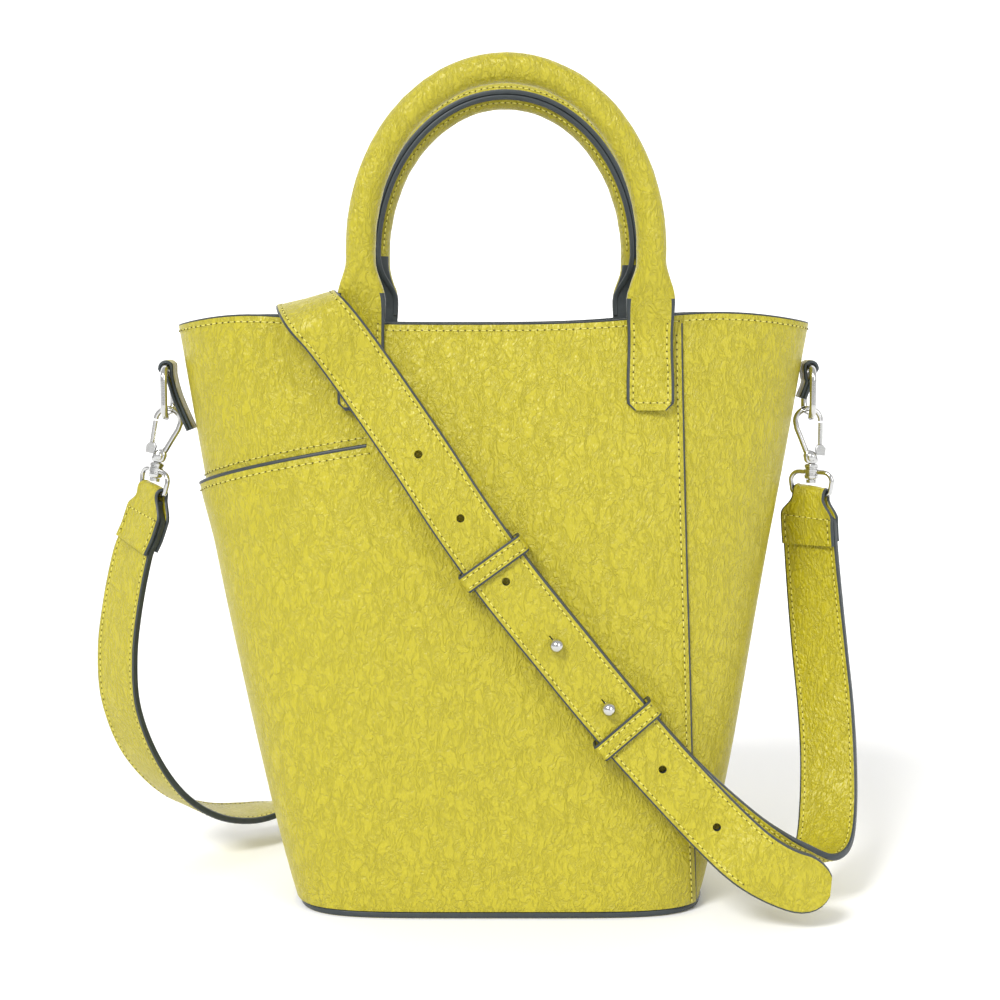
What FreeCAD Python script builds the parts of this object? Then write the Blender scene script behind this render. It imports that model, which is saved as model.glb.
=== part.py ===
import FreeCAD, Part
import math
import os
from FreeCAD import Vector

os.makedirs("parts", exist_ok=True)

# Millimetres. Origin at the middle of the base, on the floor. The front faces -Y.

# Bag body
RIM_Z = 273.0
BASE_HALF_WIDTH = 94.0
MOUTH_GROWTH = 56.5          # how much wider each side is at the rim
FLARE_POWER = 0.86
BASE_HALF_DEPTH = 62.0
BELLY = 4.0
MOUTH_PINCH = 10.0
LEAN = -3.2
LEAN_Z = 180.0               # the lean is complete from here up
BASE_T = 3.0
BOARD_T = 2.0
PANEL_T = 2.2
LINING_T = 1.2
OVERLAY_T = 1.5
WRAP_SEAM_X = 84.0
OVERLAY_EDGE_X = -60.0
OUTLINE_POINTS = 40

# Handles
HANDLE_R = 6.75
CORE_R = 4.6
HANDLE_X = 2.7               # middle of the handle
LEG_HALF = 65.0
HANDLE_Y = 55.0
FOLD_Z = 290.0
FOLD_R = 2.6
TAPER = 10.0
SHOULDER_Z = 305.0           # straight legs below, half an ellipse above
APEX_Z = 384.7
ARCH_POINTS = 24
TAB_W = 21.5
TAB_T = 2.4
TAB_TOP = 285.0
TAB_BOTTOM = 233.0

# Strap
STRAP_W = 28.0
STRAP_T = 3.4
KEEPER_T = 1.6
KEEPER_W = 8.5
KEEPER_ROOM = 1.1
STUD_R = 3.2
STUD_POST_R = 1.4
HOLE_R = 1.8
HOLES = ((-36.2, 214.3), (-17.5, 186.1), (2.7, 158.1), (25.1, 130.0), (48.4, 101.3), (72.8, 73.2),
         (97.3, 47.0))
STUDDED = HOLES[3:5]
FOLD_W = 15.0
GAP = 0.35
PEEL_X = 60.0                # past here the long piece lifts off the stud piece
PEEL = 0.06

# Hardware
RING_BAR = 1.65
RING_HALF_Y = 13.0
RING_CORNER = 6.0
LOOP_R = 4.2
LOOP_BORE = 2.6
RING_TOP_Z = 250.5
RING_BOTTOM_Z = 227.2
BOW_R = 6.0
BOW_BAR = 1.5
BOW_Z = 225.0
BOW_OFFSET = 2.0
PLATE_LOW = 204.8
PLATE_TOP = 211.0
PLATE_HALF_W = 3.4
PLATE_HALF_T = 2.4
RIVET_Z = 207.6
RIVET_R = 1.9
PIN_Z = 211.8
PIN_OUT = 4.0                # gate pin from the hook's axis
PIN_R = 0.8
PIN_BORE_R = 1.0
CHEEK_IN = 1.7
CHEEK_OUT = 2.9
CHEEK_HALF_W = 2.2
CHEEK_LOW = 208.5
CHEEK_TOP = 213.6
GATE_R = 1.2
GATE_HUB_R = 1.8
GATE_HUB_T = 2.6
POST_R = 1.5
POST_HEAD_R = 2.6
BARREL_R = 3.5
BARREL_BORE = 1.85
BARREL_LOW = 197.2
BARREL_TOP = 204.4
D_BAR = 1.2
D_HALF = 10.8
D_TOP_Z = 200.0
D_BOTTOM_Z = 190.0
CHAPE_W = 14.0
CHAPE_BOTTOM = {"left": 221.0, "right": 236.0}
HOOKS = {"left": (-161.0, 1.0, -46.0, 10.0), "right": (150.0, -1.0, -36.0, 0.0)}


def save(name, shape):
    """Write one node and print what it holds."""
    shape.exportStep("parts/" + name + ".step")
    print(name, "valid", shape.isValid(), "solids", len(shape.Solids), "cm3", round(shape.Volume / 1000, 2))


def half_width(z):
    return BASE_HALF_WIDTH + MOUTH_GROWTH * (max(z, 0.0) / RIM_Z) ** FLARE_POWER


def half_depth(z):
    s = z / RIM_Z
    return BASE_HALF_DEPTH + BELLY * math.sin(math.pi * s) - MOUTH_PINCH * s ** 3


def squareness(z):
    return 2.3 + 2.9 * max(1 - z / RIM_Z, 0.0) ** 1.5


def lean(z):
    t = min(z / LEAN_Z, 1.0)
    return LEAN * t * t * (3 - 2 * t)


def skin_y(x, z):
    """Depth of the outer leather at x, z, as a positive number."""
    level = min(z, RIM_Z)
    u = min(abs((x - lean(level)) / half_width(level)), 1.0)
    n = squareness(level)
    return half_depth(level) * (1 - u ** n) ** (1 / n)


def outline(z, offset):
    """Closed curve round the bag at one height."""
    n = squareness(z)
    points = []
    for i in range(OUTLINE_POINTS):
        angle = 2 * math.pi * i / OUTLINE_POINTS
        c = math.cos(angle)
        s = math.sin(angle)
        x = math.copysign(abs(c) ** (2 / n), c) * (half_width(z) + offset)
        y = math.copysign(abs(s) ** (2 / n), s) * (half_depth(z) + offset)
        points.append(Vector(lean(z) + x, y, z))
    curve = Part.BSplineCurve()
    curve.interpolate(points, PeriodicFlag=True)
    return Part.Wire([curve.toShape()])


def bag_solid(offset):
    levels = [BASE_T + (RIM_Z - BASE_T) * s for s in (0, 0.08, 0.22, 0.42, 0.62, 0.82, 1)]
    return Part.makeLoft([outline(z, offset) for z in levels], True, False)


def box(x0, x1, y0, y1, z0, z1):
    return Part.makeBox(x1 - x0, y1 - y0, z1 - z0, Vector(x0, y0, z0))


def rod(start, end, radius):
    along = end - start
    return Part.makeCylinder(radius, along.Length, start, along)


def smooth(points, steps):
    """Catmull-Rom points through a short list of vectors."""
    out = []
    last = len(points) - 1
    for i in range(last):
        a = points[max(i - 1, 0)]
        b = points[i]
        c = points[i + 1]
        d = points[min(i + 2, last)]
        for k in range(steps):
            t = k / steps
            out.append((b * 2 + (c - a) * t + (a * 2 - b * 5 + c * 4 - d) * t ** 2
                        + (b * 3 - a - c * 3 + d) * t ** 3) * 0.5)
    out.append(points[last])
    return out


def ribbon(route, width, thickness, steps=3):
    """A flat strip. Each entry of the route is a centre and the way its width points."""
    centres = smooth([Vector(*p) for p, w in route], steps)
    widths = smooth([Vector(*w).normalize() for p, w in route], steps)
    sections = []
    for i, centre in enumerate(centres):
        along = centres[min(i + 1, len(centres) - 1)] - centres[max(i - 1, 0)]
        along.normalize()
        across = widths[i] - along * widths[i].dot(along)
        across.normalize()
        normal = along.cross(across)
        corners = [centre + across * (width / 2 * a) + normal * (thickness / 2 * b)
                   for a, b in ((-1, -1), (1, -1), (1, 1), (-1, 1))]
        sections.append(Part.makePolygon(corners + corners[:1]))
    return Part.makeLoft(sections, True, True)


# ---- bag body ----

OUTER = bag_solid(0)
INNER = bag_solid(-PANEL_T)
HOLLOW = bag_solid(-PANEL_T - LINING_T)
PROUD = bag_solid(OVERLAY_T)
FAR = 400.0


def make_body():
    shell = OUTER.cut(INNER)
    save("front_panel", shell.common(box(-FAR, WRAP_SEAM_X, -FAR, 0, 0, FAR)))
    save("back_panel", shell.common(box(-FAR, WRAP_SEAM_X, 0, FAR, 0, FAR)))
    save("right_wrap_panel", shell.common(box(WRAP_SEAM_X, FAR, -FAR, FAR, 0, FAR)))
    save("lining", INNER.cut(HOLLOW))
    base = Part.Face(outline(0, 0.5)).extrude(Vector(0, 0, BASE_T))
    save("base_panel", base)
    board = Part.Face(outline(BASE_T, -PANEL_T - LINING_T - 0.4)).extrude(Vector(0, 0, BOARD_T))
    save("base_board", board)


def make_overlay():
    """Proud front layer: full height right of its hidden edge, below the pocket mouth left of it."""
    mouth = [Vector(-FAR, 0, 180), Vector(-141, 0, 194), Vector(-113, 0, 206), Vector(-91, 0, 211.5),
             Vector(OVERLAY_EDGE_X, 0, 217), Vector(OVERLAY_EDGE_X, 0, FAR), Vector(WRAP_SEAM_X, 0, FAR),
             Vector(WRAP_SEAM_X, 0, 0), Vector(-FAR, 0, 0)]
    region = Part.Face(Part.makePolygon(mouth + mouth[:1])).extrude(Vector(0, -FAR, 0))
    save("front_overlay_panel", PROUD.cut(OUTER).common(region))


# ---- handles ----

def arch(radius, side):
    """Tube along the handle: two short straight legs under half an ellipse."""
    def at(x, z):
        return Vector(HANDLE_X + x, side * HANDLE_Y, z)
    foot = FOLD_Z + TAPER
    over = []
    for i in range(ARCH_POINTS + 1):
        angle = math.pi * (1 - i / ARCH_POINTS)
        over.append(at(LEG_HALF * math.cos(angle), SHOULDER_Z + (APEX_Z - SHOULDER_Z) * math.sin(angle)))
    curve = Part.BSplineCurve()
    curve.interpolate(over, InitialTangent=Vector(0, 0, 1), FinalTangent=Vector(0, 0, -1))
    path = Part.Wire([Part.LineSegment(at(-LEG_HALF, foot), over[0]).toShape(), curve.toShape(),
                      Part.LineSegment(over[-1], at(LEG_HALF, foot)).toShape()])
    profile = Part.Wire([Part.makeCircle(radius, at(-LEG_HALF, foot), Vector(0, 0, 1))])
    return path.makePipeShell([profile], True, False)


def make_handle(name, side):
    outer = arch(HANDLE_R, side)
    core = arch(CORE_R, side)
    cover = outer.cut(core)
    for way in (-1, 1):
        foot = Vector(HANDLE_X + way * LEG_HALF, side * HANDLE_Y, FOLD_Z)
        cover = cover.fuse(Part.makeCone(FOLD_R, HANDLE_R, TAPER, foot, Vector(0, 0, 1)))
        cover = cover.fuse(Part.makeSphere(FOLD_R, foot))
    save("handle_" + name + "_cover", cover)
    save("handle_" + name + "_core", core)


def make_tab(name, side, way):
    x = HANDLE_X + way * LEG_HALF
    stand = OVERLAY_T + GAP + TAB_T / 2
    route = []
    for i in range(4):
        z = TAB_BOTTOM + (RIM_Z - TAB_BOTTOM) * i / 3
        y = min(skin_y(x - TAB_W / 2, z), skin_y(x + TAB_W / 2, z))
        y = max(y, skin_y(x, z), skin_y(x - math.copysign(TAB_W / 2, x), z))
        route.append(((x, side * (y + stand), z), (1, 0, 0)))
    route.append(((x, route[-1][0][1], TAB_TOP), (1, 0, 0)))
    save("handle_tab_" + name, ribbon(route, TAB_W, TAB_T, 1))


# ---- rings, chapes and snap hooks ----

def hang(shape, side):
    """Tilts what hangs from a ring about the ring's lower bar."""
    x, way, spin, tilt = HOOKS[side]
    pivot = Vector(x + way * BOW_OFFSET, 0, RING_BOTTOM_Z)
    turned = shape.copy()
    turned.rotate(pivot, Vector(0, 1, 0), tilt)
    return turned


def oval_ring(x):
    """Ring in the YZ plane: four straight bars with rounded corners."""
    low = RING_BOTTOM_Z
    high = RING_TOP_Z
    c = RING_CORNER
    bend = c * (1 - math.sqrt(0.5))
    h = RING_HALF_Y

    def at(y, z):
        return Vector(x, y, z)
    edges = [Part.LineSegment(at(0, low), at(h - c, low)).toShape(),
             Part.Arc(at(h - c, low), at(h - bend, low + bend), at(h, low + c)).toShape(),
             Part.LineSegment(at(h, low + c), at(h, high - c)).toShape(),
             Part.Arc(at(h, high - c), at(h - bend, high - bend), at(h - c, high)).toShape(),
             Part.LineSegment(at(h - c, high), at(0, high)).toShape()]
    profile = Part.Wire([Part.makeCircle(RING_BAR, at(0, low), Vector(0, 1, 0))])
    half = Part.Wire(edges).makePipeShell([profile], True, False)
    return half.fuse(half.mirror(at(0, low), Vector(0, 1, 0))).removeSplitter()


def make_chape(name, x, way):
    """Leather loop round the ring's top, sewn to the bag's side below it."""
    start = Vector(x, -CHAPE_W / 2, RING_TOP_Z)
    loop = Part.makeCylinder(LOOP_R, CHAPE_W, start, Vector(0, 1, 0))
    z0 = CHAPE_BOTTOM[name]
    edge0 = lean(z0) - way * (half_width(z0) + OVERLAY_T + 1.6)
    route = [((edge0, 0, z0), (0, 1, 0)), ((x + way * 2.4, 0, RING_TOP_Z), (0, 1, 0))]
    leaf = ribbon(route, CHAPE_W, 3.2, 1)
    bore = Part.makeCylinder(LOOP_BORE, CHAPE_W, start, Vector(0, 1, 0))
    whole = loop.fuse(leaf).cut(bore).cut(PROUD)
    save("chape_" + name, max(whole.Solids, key=lambda solid: solid.Volume))


def make_hook(name, x, way):
    """Bow, arm and plate. The gate closes the outer side."""
    bow_x = x + way * BOW_OFFSET
    bow = Part.makeTorus(BOW_R, BOW_BAR, Vector(bow_x, 0, BOW_Z), Vector(0, 1, 0))
    bow = bow.common(box(bow_x - 20, bow_x + 20, -5, 5, BOW_Z, BOW_Z + 20))
    arm = rod(Vector(bow_x + way * BOW_R, 0, BOW_Z), Vector(x + way * 1.5, 0, RIVET_Z), BOW_BAR)
    ball = Part.makeSphere(BOW_BAR, Vector(bow_x + way * BOW_R, 0, BOW_Z))
    plate = box(x - PLATE_HALF_W, x + PLATE_HALF_W, -PLATE_HALF_T, PLATE_HALF_T, PLATE_LOW, PLATE_TOP)
    body = bow.fuse(arm).fuse(ball).fuse(plate)
    pin_at = Vector(x - way * PIN_OUT, 0, PIN_Z)
    for face in (-1, 1):
        y0, y1 = sorted((face * CHEEK_IN, face * CHEEK_OUT))
        body = body.fuse(box(pin_at.x - CHEEK_HALF_W, pin_at.x + CHEEK_HALF_W, y0, y1, CHEEK_LOW, CHEEK_TOP))
    body = body.cut(box(pin_at.x - CHEEK_HALF_W - 0.8, pin_at.x + CHEEK_HALF_W + 0.4, -CHEEK_IN, CHEEK_IN,
                        CHEEK_LOW - 0.5, CHEEK_TOP + 0.9))
    body = body.cut(Part.makeCylinder(PIN_R, 8, pin_at - Vector(0, 4, 0), Vector(0, 1, 0)))
    save("hook_" + name + "_body", hang(body, name))
    post = rod(Vector(x, 0, BARREL_LOW - 0.8), Vector(x, 0, PLATE_LOW), POST_R)
    head = rod(Vector(x, 0, BARREL_LOW - 2.0), Vector(x, 0, BARREL_LOW - 0.4), POST_HEAD_R)
    save("swivel_post_" + name, hang(post.fuse(head), name))
    half_pin = Vector(0, CHEEK_OUT, 0)
    save("gate_" + name + "_pin", hang(rod(pin_at - half_pin, pin_at + half_pin, PIN_R), name))
    hub = Part.makeCylinder(GATE_HUB_R, GATE_HUB_T, pin_at - Vector(0, GATE_HUB_T / 2, 0), Vector(0, 1, 0))
    tip = Vector(bow_x - way * BOW_R, 0, BOW_Z - 0.9)
    gate = hub.fuse(rod(pin_at + Vector(0, 0, 1), tip, GATE_R))
    gate = gate.cut(Part.makeCylinder(PIN_BORE_R, 8, pin_at - Vector(0, 4, 0), Vector(0, 1, 0)))
    save("gate_" + name, hang(gate, name))
    rivet = rod(Vector(x, -PLATE_HALF_T - 0.8, RIVET_Z), Vector(x, -PLATE_HALF_T, RIVET_Z), RIVET_R)
    save("plate_rivet_" + name, hang(rivet, name))


def make_swivel_d(name, x, spin):
    """Barrel and wire frame that the strap's end is sewn round."""
    barrel = rod(Vector(x, 0, BARREL_LOW), Vector(x, 0, BARREL_TOP), BARREL_R)
    frame = box(x - D_HALF, x + D_HALF, -D_BAR, D_BAR, D_BOTTOM_Z - D_BAR, D_TOP_Z + D_BAR)
    frame = frame.cut(box(x - D_HALF + 2 * D_BAR, x + D_HALF - 2 * D_BAR, -5, 5,
                          D_BOTTOM_Z + D_BAR, D_TOP_Z - D_BAR))
    bore = rod(Vector(x, 0, D_TOP_Z - 5), Vector(x, 0, BARREL_TOP + 1), BARREL_BORE)
    whole = barrel.fuse(frame).cut(bore)
    whole.rotate(Vector(x, 0, 0), Vector(0, 0, 1), spin)
    save("swivel_d_" + name, hang(whole, name))
    start = Vector(x - FOLD_W / 2, 0, D_BOTTOM_Z)
    fold = Part.makeCylinder(LOOP_R, FOLD_W, start, Vector(1, 0, 0))
    fold = fold.cut(Part.makeCylinder(D_BAR * 1.5 + GAP, FOLD_W, start, Vector(1, 0, 0)))
    fold.rotate(Vector(x, 0, 0), Vector(0, 0, 1), spin)
    save("strap_fold_" + name, hang(fold, name))


# ---- strap ----

def trim_to_fold(strap, side):
    """Ends a strap on the outside of the leather folded round its swivel."""
    x, way, spin, tilt = HOOKS[side]
    fold = Part.makeCylinder(LOOP_R, 2 * STRAP_W, Vector(x - STRAP_W, 0, D_BOTTOM_Z), Vector(1, 0, 0))
    fold.rotate(Vector(x, 0, 0), Vector(0, 0, 1), spin)
    return strap.cut(hang(fold, side))


def diagonal_y(x, z, layer):
    """Middle of a strap layer lying on the front: 0 on the bag, 1 over the stud piece."""
    first = skin_y(min(x, PEEL_X), z) + OVERLAY_T + KEEPER_T + 2 * GAP + STRAP_T / 2 + 1.5
    peel = PEEL * max(x - PEEL_X, 0)
    return -(first + layer * (STRAP_T + GAP + peel))


def make_straps():
    down_right = (0.76, 0, 0.65)
    fall = [((-167.6, 0, 189.0), (0.72, -0.69, 0)), ((-169.8, 0, 181.0), (0.72, -0.69, 0)),
            ((-173.0, 0, 171.5), (0.73, -0.68, 0)),
            ((-177.8, 0, 160.0), (0.74, -0.67, 0)), ((-183.5, 2, 135.3), (0.75, -0.66, 0)),
            ((-187.1, 5, 110.1), (0.76, -0.65, 0.1)), ((-186.5, 9, 84.4), (0.74, -0.66, 0.1)),
            ((-178.5, 16, 57.6), (0.68, -0.70, 0.15)), ((-163.9, 27, 34.7), (0.45, -0.86, 0.2)),
            ((-146.0, 42, 21.6), (0.15, -0.98, 0.1)), ((-126.0, 62, 17.0), (-0.2, -0.97, 0))]
    climb = [((-106.0, 80, 21.0), (-0.3, -0.95, 0)), ((-90.0, 89, 38.0), (0, -1, 0)),
             ((-86.0, 88, 70.0), (0.25, -0.97, 0)), ((-88.0, 82, 120.0), (0.6, -0.8, 0)),
             ((-91.0, 74, 170.0), (0.85, -0.53, 0)), ((-92.0, 64, 220.0), (0.98, -0.2, 0)),
             ((-91.0, 57, 258.0), (1, 0, 0)), ((-90.5, 51, 274.0), (1, 0, 0)),
             ((-90.0, 42, 279.5), (1, 0, 0))]
    cross = [((-89.0, 20, 278.5), (1, 0, 0)), ((-88.5, -20, 279.0), (1, 0, 0)),
             ((-87.7, -46, 281.5), (0.96, 0, 0.27)), ((-82.5, -62.6, 276.5), (0.9, 0, 0.43)),
             ((-74.8, -65.6, 268.5), (0.83, 0, 0.56))]
    flat = [(-60.0, 248.2)] + list(HOLES)
    down = [((x, diagonal_y(x, z, 1), z), down_right) for x, z in flat]
    tip = [((114.0, -83, 33.0), (0.70, 0, 0.71)), ((132.0, -82, 23.5), (0.50, 0, 0.87)),
           ((148.0, -82, 21.5), (0.2, 0, 0.98))]
    long_strap = ribbon(fall + climb + cross + down + tip, STRAP_W, STRAP_T)
    for x, z in HOLES:
        y = diagonal_y(x, z, 1)
        long_strap = long_strap.cut(Part.makeCylinder(HOLE_R, 12, Vector(x, y - 6, z), Vector(0, 1, 0)))
    save("strap_long", trim_to_fold(long_strap, "left"))
    under = [(-8.0, 172.9)] + list(HOLES[2:6]) + [(91.0, 55.0)]
    rise = [((x, diagonal_y(x, z, 0), z), down_right) for x, z in under]
    curl = [((114.0, -68, 35.5), (0.76, 0, 0.64)), ((131.0, -60, 26.5), (0.78, -0.3, 0.55)),
            ((144.0, -50, 23.0), (0.82, -0.45, 0.35)), ((152.5, -37, 28.0), (0.87, -0.48, 0.15)),
            ((156.6, -24, 42.3), (0.87, -0.49, 0)), ((158.4, -12, 64.3), (0.86, -0.51, 0)),
            ((157.8, -5, 87.3), (0.88, -0.47, 0)), ((155.7, -0.5, 111.0), (0.88, -0.47, 0)),
            ((153.4, 2.0, 135.2), (0.86, -0.51, 0)), ((151.1, 2.5, 159.5), (0.82, -0.57, 0)),
            ((149.4, 0.5, 178.0), (0.81, -0.59, 0)), ((150.0, 0, 187.0), (0.81, -0.59, 0))]
    save("strap_stud", trim_to_fold(ribbon(rise + curl, STRAP_W, STRAP_T), "right"))


def make_keeper(name, x, z, slope):
    """Closed leather band round both strap layers."""
    mid_y = (diagonal_y(x, z, 0) + diagonal_y(x, z, 1)) / 2
    inner_t = 2 * STRAP_T + GAP + 2 * KEEPER_ROOM
    inner_w = STRAP_W + 2 * KEEPER_ROOM
    band = box(-inner_w / 2 - KEEPER_T, inner_w / 2 + KEEPER_T, -inner_t / 2 - KEEPER_T,
               inner_t / 2 + KEEPER_T, -KEEPER_W / 2, KEEPER_W / 2)
    band = band.cut(box(-inner_w / 2, inner_w / 2, -inner_t / 2, inner_t / 2, -FAR, FAR))
    band.rotate(Vector(0, 0, 0), Vector(0, 1, 0), -slope)
    band.translate(Vector(x, mid_y, z))
    save(name, band)


def make_studs():
    """Ball studs standing on the stud piece, through two holes of the long piece."""
    studs = []
    for x, z in STUDDED:
        face = diagonal_y(x, z, 1) - STRAP_T / 2
        foot = diagonal_y(x, z, 0) - STRAP_T / 2
        ball = Part.makeSphere(STUD_R, Vector(x, face - STUD_R - 0.3, z))
        studs.append(ball.fuse(rod(Vector(x, foot, z), Vector(x, face - 2, z), STUD_POST_R)))
    save("ball_studs", Part.makeCompound(studs))


make_body()
make_overlay()
for handle_name, handle_side in (("front", -1), ("back", 1)):
    make_handle(handle_name, handle_side)
    for tab_name, tab_way in (("left", -1), ("right", 1)):
        make_tab(handle_name + "_" + tab_name, handle_side, tab_way)
for side_name, (hook_x, inward, d_spin, d_tilt) in HOOKS.items():
    save("ring_" + side_name, oval_ring(hook_x + inward * BOW_OFFSET))
    make_chape(side_name, hook_x + inward * BOW_OFFSET, inward)
    make_hook(side_name, hook_x, inward)
    make_swivel_d(side_name, hook_x, d_spin)
make_straps()
make_keeper("keeper_upper", -2.8, 166.0, 36.0)
make_keeper("keeper_lower", 57.0, 91.0, 41.0)
make_studs()
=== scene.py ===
import math

import bmesh
import bpy
from mathutils import Matrix, Vector, noise


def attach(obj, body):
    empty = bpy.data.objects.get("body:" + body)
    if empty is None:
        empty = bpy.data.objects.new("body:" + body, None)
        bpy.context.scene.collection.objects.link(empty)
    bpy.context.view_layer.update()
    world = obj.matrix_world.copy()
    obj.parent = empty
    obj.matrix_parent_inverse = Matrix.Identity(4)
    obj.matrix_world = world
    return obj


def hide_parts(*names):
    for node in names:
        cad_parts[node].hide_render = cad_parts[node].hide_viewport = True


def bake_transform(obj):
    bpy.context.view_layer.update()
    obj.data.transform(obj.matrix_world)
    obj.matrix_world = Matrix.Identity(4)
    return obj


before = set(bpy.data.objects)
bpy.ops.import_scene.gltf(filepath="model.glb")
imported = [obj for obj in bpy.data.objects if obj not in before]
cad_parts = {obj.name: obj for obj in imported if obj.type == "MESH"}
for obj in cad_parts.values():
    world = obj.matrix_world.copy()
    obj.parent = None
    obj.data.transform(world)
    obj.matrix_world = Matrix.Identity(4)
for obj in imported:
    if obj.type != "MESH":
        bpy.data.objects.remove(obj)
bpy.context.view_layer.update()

bl_info = {
    "name": "Leather Bucket Tote",
    "version": (1, 0, 0),
    "blender": (4, 5, 0),
    "location": "View3D > Sidebar > Tote",
    "description": "Builds a leather bucket tote with rolled handles and a studded shoulder strap",
    "category": "Object",
}

MM = 0.001

# Body shape in millimetres, as the frame holds it
RIM_Z = 273.0
BASE_HALF_WIDTH = 94.0
MOUTH_GROWTH = 56.5
FLARE_POWER = 0.86
BASE_HALF_DEPTH = 62.0
BELLY = 4.0
MOUTH_PINCH = 10.0
LEAN = -3.2
LEAN_Z = 180.0
BASE_T = 3.0
PANEL_T = 2.2
OVERLAY_T = 1.5
POCKET_EDGE_X = -60.0
OVERLAY_GAP = 0.15
POCKET_LEVEL = 205.0
OUTLINE_STEPS = 720

# Handles
HANDLE_R = 6.75
HANDLE_X = 2.7
LEG_HALF = 65.0
HANDLE_Y = 55.0
SHOULDER_Z = 305.0
APEX_Z = 384.7
TAB_HALF_W = 10.75
TAB_BOTTOM = 233.0

# Strap
STRAP_W = 28.0
STRAP_T = 3.4
GAP = 0.35
KEEPER_T = 1.6
KEEPER_W = 8.5
KEEPER_ROOM = 1.1
PEEL_X = 60.0
PEEL = 0.06
HOLES = ((-36.2, 214.3), (-17.5, 186.1), (2.7, 158.1), (25.1, 130.0), (48.4, 101.3), (72.8, 73.2),
         (97.3, 47.0))
STUDDED = HOLES[3:5]
HOLE_R = 1.85
PUNCH_REACH = 7
STITCH_INSET = 2.6
TAIL_STITCH_X = 11.4
BALL_R = 3.2
STUD_POST_R = 1.4
STUD_FOOT_R = 3.0

# Hardware: hook axis x, which way is inward, turn of the strap's end about Z, tilt of what hangs
HOOKS = {"left": (-161.0, 1.0, -46.0, 10.0), "right": (150.0, -1.0, -36.0, 0.0)}
BOW_OFFSET = 2.0
RING_BOTTOM_Z = 227.2
RING_TOP_Z = 250.5
D_BOTTOM_Z = 190.0
CHAPE_BOTTOM = {"left": 221.0, "right": 236.0}


# ---------------------------------------------------------------- settings

class ToteLeather(bpy.types.PropertyGroup):
    colour: bpy.props.FloatVectorProperty(
        name="Leather colour", description="Base colour of the hide", subtype="COLOR", size=3,
        default=(0.425, 0.368, 0.012), min=0, max=1)
    edge_colour: bpy.props.FloatVectorProperty(
        name="Edge paint", description="Colour of the sealed cut edges", subtype="COLOR", size=3,
        default=(0.026, 0.034, 0.037), min=0, max=1)
    lining_colour: bpy.props.FloatVectorProperty(
        name="Lining", description="Colour of the lining cloth", subtype="COLOR", size=3,
        default=(0.36, 0.33, 0.13), min=0, max=1)
    grain: bpy.props.FloatProperty(
        name="Grain depth", description="Depth of the hide's creases", unit="LENGTH", default=0.0005)
    slack: bpy.props.FloatProperty(
        name="Slack", description="How far the soft panels wander", unit="LENGTH", default=0.0005)


class ToteStitch(bpy.types.PropertyGroup):
    colour: bpy.props.FloatVectorProperty(
        name="Thread colour", description="Colour of the sewing thread", subtype="COLOR", size=3,
        default=(0.70, 0.64, 0.14), min=0, max=1)
    pitch: bpy.props.FloatProperty(
        name="Panel pitch", description="Stitch spacing on the panels", unit="LENGTH", default=0.0032)
    strap_pitch: bpy.props.FloatProperty(
        name="Strap pitch", description="Stitch spacing on the strap", unit="LENGTH", default=0.0030)
    thickness: bpy.props.FloatProperty(
        name="Thread", description="Thread thickness", unit="LENGTH", default=0.00062)


class ToteStage(bpy.types.PropertyGroup):
    distance: bpy.props.FloatProperty(
        name="Camera distance", description="How far the camera stands back", unit="LENGTH", default=0.9)
    height: bpy.props.FloatProperty(
        name="Camera height", description="Height of the lens", unit="LENGTH", default=0.2771)
    tilt: bpy.props.FloatProperty(
        name="Camera pitch", description="Pitch of the camera", subtype="ANGLE",
        default=math.radians(84.27))
    lens: bpy.props.FloatProperty(
        name="Lens", description="Focal length", subtype="DISTANCE_CAMERA", default=67.5)


def leather_set():
    return bpy.context.scene.tote_leather


def stitch_set():
    return bpy.context.scene.tote_stitch


# ---------------------------------------------------------------- materials

class Val:
    """A node socket that takes part in Python sums."""

    def __init__(self, graph, socket):
        self.graph = graph
        self.socket = socket

    def math(self, kind, *others):
        values = dict(enumerate((self,) + others))
        return self.graph.node("ShaderNodeMath", {"operation": kind}, values)

    def __add__(self, other):
        return self.math("ADD", other)

    __radd__ = __add__

    def __mul__(self, other):
        return self.math("MULTIPLY", other)

    __rmul__ = __mul__

    def __sub__(self, other):
        return self.math("SUBTRACT", other)

    def __rsub__(self, other):
        return self.graph.node("ShaderNodeMath", {"operation": "SUBTRACT"}, {0: other, 1: self})

    def span(self, low, high):
        """0 at low, 1 at high, smooth between."""
        return self.graph.node("ShaderNodeMapRange", {"interpolation_type": "SMOOTHSTEP"},
                               {"Value": self, "From Min": low, "From Max": high})


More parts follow.
